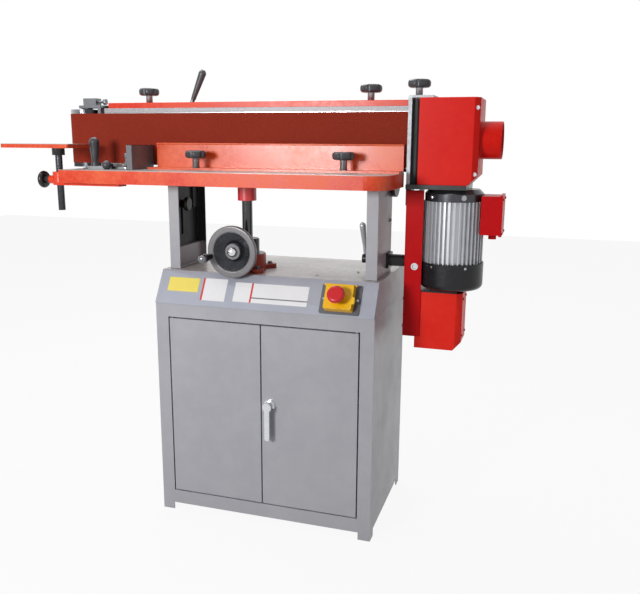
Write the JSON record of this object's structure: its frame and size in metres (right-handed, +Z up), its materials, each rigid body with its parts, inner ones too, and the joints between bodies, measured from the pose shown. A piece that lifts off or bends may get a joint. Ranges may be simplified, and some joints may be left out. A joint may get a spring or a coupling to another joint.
{
  "type": "oscillating edge sander",
  "caption": "Free-standing oscillating edge sander with a tilting belt head, rise-and-fall table with handwheel, fence, mitre gauge, extension table and motor on a sheet-steel cabinet.",
  "frame": {"origin": "on the floor under the middle of the cabinet", "axes": "+X to the right along the belt, seen from the working side; +Y to the back; +Z up"},
  "size_m": [1.453, 0.4466, 1.3124],
  "materials": {
    "grey_paint": "satin",
    "red_paint": "satin",
    "deep_red_paint": "satin",
    "red_cast": "painted",
    "steel": "machined",
    "chrome": "polished",
    "aluminium": "cast",
    "black_plastic": "matte",
    "grey_plastic": "matte",
    "black_paint": "satin",
    "grey_cast": "painted",
    "drum_rubber": "matte",
    "belt": "abrasive",
    "yellow_plastic": "gloss",
    "red_plastic": "gloss",
    "green_plastic": "gloss"
  },
  "bodies": {
    "stand": {"cabinet_body": "grey_paint", "console": "grey_paint", "door_pins": "steel", "left_post": "grey_paint", "right_post": "grey_paint", "pivot_pins": "steel", "lock_bracket": "black_paint", "jack_base": "red_cast", "switch_housing": "yellow_plastic"},
    "left_door": {"left_door": "grey_paint"},
    "right_door": {"right_door": "grey_paint"},
    "door_handle": {"door_handle": "chrome"},
    "table": {"table": "red_paint", "table_guides": "black_paint", "lift_screw": "red_cast", "extension_bracket": "red_paint"},
    "handwheel": {"handwheel": "grey_cast", "handwheel_shaft": "steel"},
    "handwheel_grip": {"handwheel_grip": "black_plastic"},
    "jack_nut": {"jack_nut": "steel"},
    "table_lock_knob": {"table_lock_knob": "black_plastic"},
    "tilt_lock_lever": {"tilt_lock_lever": "black_plastic"},
    "fence": {"fence": "red_paint"},
    "fence_knob_left": {"fence_knob_left": "grey_plastic"},
    "fence_knob_right": {"fence_knob_right": "grey_plastic"},
    "mitre_bar": {"mitre_bar": "steel"},
    "mitre_head": {"mitre_head": "grey_cast"},
    "mitre_handle": {"mitre_handle": "black_plastic"},
    "extension_rod": {"extension_rod": "steel"},
    "extension_table": {"extension_table": "red_paint"},
    "extension_knob": {"extension_knob": "black_plastic"},
    "switch_flap": {"switch_flap": "yellow_plastic"},
    "stop_mushroom": {"stop_mushroom": "red_plastic"},
    "start_button": {"start_button": "green_plastic"},
    "tilt_frame": {"tilt_frame": "black_paint", "guide_rods": "steel", "motor_column": "deep_red_paint", "oscillation_box": "deep_red_paint", "oscillation_gear": "black_paint"},
    "oscillation_cam": {"oscillation_cam": "steel"},
    "head": {"head_beam": "grey_paint", "platen": "steel", "platen_strip": "aluminium", "belt_guard": "red_paint", "end_frame": "steel", "dust_hood": "red_paint", "motor_bell": "black_paint", "motor_housing": "aluminium", "fan_cover": "black_paint", "terminal_box": "deep_red_paint", "sanding_belt": "belt", "cam_follower": "steel"},
    "guard_knob_left": {"guard_knob_left": "grey_plastic"},
    "guard_knob_right": {"guard_knob_right": "grey_plastic"},
    "hood_knob": {"hood_knob": "grey_plastic"},
    "drive": {"drive_shaft": "steel", "drive_drum": "drum_rubber"},
    "idler_carriage": {"idler_carriage": "steel"},
    "idler_drum": {"idler_drum": "aluminium"},
    "tension_lever": {"tension_lever": "black_plastic"}
  },
  "joints": [
    {"name": "left_door_hinge", "type": "hinge", "parent": "stand", "child": "left_door", "pos_m": [-0.276, -0.194, 0.33], "axis": [0, 0, 1], "range_deg": [-110, 0]},
    {"name": "right_door_hinge", "type": "hinge", "parent": "stand", "child": "right_door", "pos_m": [0.276, -0.194, 0.33], "axis": [0, 0, 1], "range_deg": [0, 110]},
    {"name": "door_handle_turn", "type": "hinge", "parent": "right_door", "child": "door_handle", "pos_m": [0.026, -0.2, 0.372], "axis": [0, 1, 0], "range_deg": [0, 90]},
    {"name": "table_lift", "type": "slide", "parent": "stand", "child": "table", "axis": [0, 0, 1], "range_m": [0, 0.085]},
    {"name": "handwheel_turn", "type": "hinge", "parent": "stand", "child": "handwheel", "pos_m": [-0.091, -0.16, 0.801], "axis": [0, 1, 0], "range_deg": [0, 1531]},
    {"name": "handwheel_grip_spin", "type": "hinge", "parent": "handwheel", "child": "handwheel_grip", "pos_m": [-0.15385, -0.2, 0.78649], "axis": [0, 1, 0], "continuous": true},
    {"name": "jack_nut_turn", "type": "hinge", "parent": "stand", "child": "jack_nut", "pos_m": [-0.091, -0.066, 0.785], "axis": [0, 0, 1], "range_deg": [0, 1531]},
    {"name": "table_lock_turn", "type": "hinge", "parent": "stand", "child": "table_lock_knob", "pos_m": [-0.3, -0.07, 0.92], "axis": [1, 0, 0], "continuous": true},
    {"name": "tilt_lock_turn", "type": "hinge", "parent": "stand", "child": "tilt_lock_lever", "pos_m": [0.3, 0.008, 0.773], "axis": [1, 0, 0], "range_deg": [-20, 45]},
    {"name": "fence_slide", "type": "slide", "parent": "table", "child": "fence", "axis": [0, 1, 0], "range_m": [-0.018, 0]},
    {"name": "fence_knob_left_turn", "type": "hinge", "parent": "table", "child": "fence_knob_left", "pos_m": [-0.2425, -0.083, 1.05], "axis": [0, 0, 1], "continuous": true},
    {"name": "fence_knob_right_turn", "type": "hinge", "parent": "table", "child": "fence_knob_right", "pos_m": [0.2015, -0.083, 1.05], "axis": [0, 0, 1], "continuous": true},
    {"name": "mitre_slide", "type": "slide", "parent": "table", "child": "mitre_bar", "axis": [1, 0, 0], "range_m": [-0.01, 0.015]},
    {"name": "mitre_swivel", "type": "hinge", "parent": "mitre_bar", "child": "mitre_head", "pos_m": [-0.455, -0.11, 1.03], "axis": [0, 0, 1], "range_deg": [-11, 5]},
    {"name": "mitre_handle_turn", "type": "hinge", "parent": "mitre_bar", "child": "mitre_handle", "pos_m": [-0.563, -0.11, 1.05], "axis": [0, 0, 1], "continuous": true},
    {"name": "extension_height", "type": "slide", "parent": "table", "child": "extension_rod", "axis": [0, 0, 1], "range_m": [-0.045, 0.04]},
    {"name": "extension_swivel", "type": "hinge", "parent": "extension_rod", "child": "extension_table", "pos_m": [-0.638, -0.18, 1.07], "axis": [0, 0, 1], "range_deg": [0, 90]},
    {"name": "extension_knob_turn", "type": "hinge", "parent": "table", "child": "extension_knob", "pos_m": [-0.68, -0.18, 0.989], "axis": [1, 0, 0], "continuous": true},
    {"name": "switch_flap_hinge", "type": "hinge", "parent": "stand", "child": "switch_flap", "pos_m": [0.226, -0.17886, 0.72703], "axis": [-1, 0, 0], "range_deg": [0, 75]},
    {"name": "stop_press", "type": "slide", "parent": "switch_flap", "child": "stop_mushroom", "axis": [0, 0.8592, -0.5117], "range_m": [0, 0.005], "stiffness_N_per_m": 500, "springref_m": -0.003},
    {"name": "start_press", "type": "slide", "parent": "stand", "child": "start_button", "axis": [0, 0.8592, -0.5117], "range_m": [0, 0.005], "stiffness_N_per_m": 500, "springref_m": -0.003},
    {"name": "head_tilt", "type": "hinge", "parent": "stand", "child": "tilt_frame", "pos_m": [0, 0.05, 0.995], "axis": [1, 0, 0], "range_deg": [-90, 0]},
    {"name": "cam_turn", "type": "hinge", "parent": "tilt_frame", "child": "oscillation_cam", "pos_m": [0.4645, 0.0365, 0.592], "axis": [0, 1, 0], "range_deg": [0, 181]},
    {"name": "head_oscillation", "type": "slide", "parent": "tilt_frame", "child": "head", "axis": [0, 0, 1], "range_m": [0, 0.008]},
    {"name": "guard_knob_left_turn", "type": "hinge", "parent": "head", "child": "guard_knob_left", "pos_m": [-0.456, 0.0365, 1.24], "axis": [0, 0, 1], "continuous": true},
    {"name": "guard_knob_right_turn", "type": "hinge", "parent": "head", "child": "guard_knob_right", "pos_m": [0.246, 0.0365, 1.24], "axis": [0, 0, 1], "continuous": true},
    {"name": "hood_knob_turn", "type": "hinge", "parent": "head", "child": "hood_knob", "pos_m": [0.386, 0.0115, 1.24], "axis": [0, 0, 1], "continuous": true},
    {"name": "drive_spin", "type": "hinge", "parent": "head", "child": "drive", "pos_m": [0.49, 0.0365, 1.1], "axis": [0, 0, 1], "continuous": true},
    {"name": "belt_tension", "type": "slide", "parent": "head", "child": "idler_carriage", "axis": [1, 0, 0], "range_m": [0, 0.02]},
    {"name": "idler_spin", "type": "hinge", "parent": "idler_carriage", "child": "idler_drum", "pos_m": [-0.68109, 0.0365, 1.1], "axis": [0, 0, 1], "continuous": true},
    {"name": "tension_lever_turn", "type": "hinge", "parent": "head", "child": "tension_lever", "pos_m": [-0.335, 0.0365, 1.162], "axis": [0, 1, 0], "range_deg": [-37, 0]}
  ],
  "couplings": [
    {"joint": "handwheel_turn", "follows": "table_lift", "rad_per_m": 314.16},
    {"joint": "jack_nut_turn", "follows": "table_lift", "rad_per_m": 314.16},
    {"joint": "cam_turn", "follows": "head_oscillation", "rad_per_m": 392.7},
    {"joint": "idler_spin", "follows": "drive_spin", "ratio": 1},
    {"joint": "tension_lever_turn", "follows": "belt_tension", "rad_per_m": -32}
  ]
}
